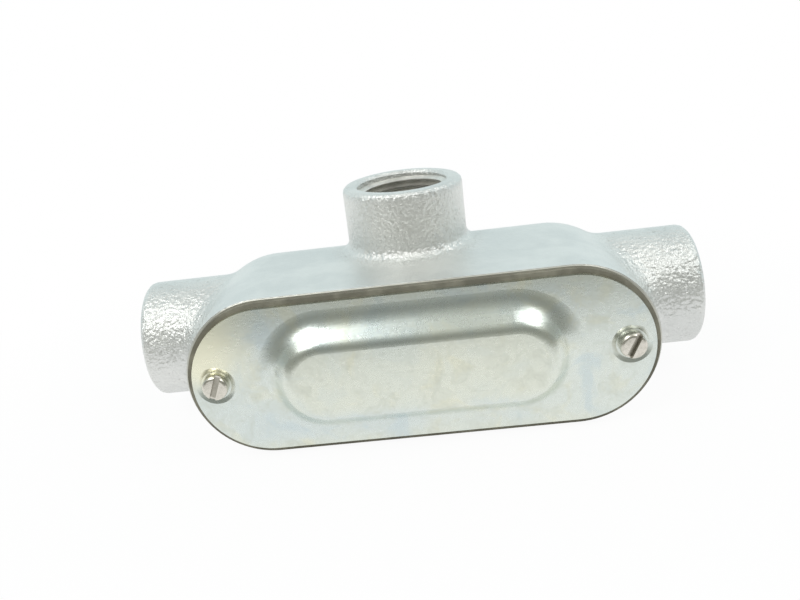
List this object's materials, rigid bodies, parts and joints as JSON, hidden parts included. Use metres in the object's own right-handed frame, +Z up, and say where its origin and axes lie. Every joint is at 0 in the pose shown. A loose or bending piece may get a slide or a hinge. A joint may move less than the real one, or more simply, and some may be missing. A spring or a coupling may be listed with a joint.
{
  "type": "conduit body",
  "caption": "Cast T-shaped conduit body with threaded hubs on its run and branch, and a domed sheet-steel cover held over a gasket by slotted screws.",
  "frame": {"origin": "on the surface the fitting stands on, under the middle of its bounding box", "axes": "+Z up along the branch hub, X along the run, cover facing -Y"},
  "size_m": [0.1636, 0.0674, 0.0636],
  "materials": {
    "casting": "bright zinc plate over rough cast skin",
    "gasket_rubber": "matte dark brown",
    "cover_sheet": "satin zinc plate with a faint yellow-green cast",
    "screw_metal": "bright plated"
  },
  "bodies": {
    "root": {"body": "casting", "gasket": "gasket_rubber", "cover": "cover_sheet", "screw_left": "screw_metal", "screw_right": "screw_metal"}
  },
  "joints": []
}
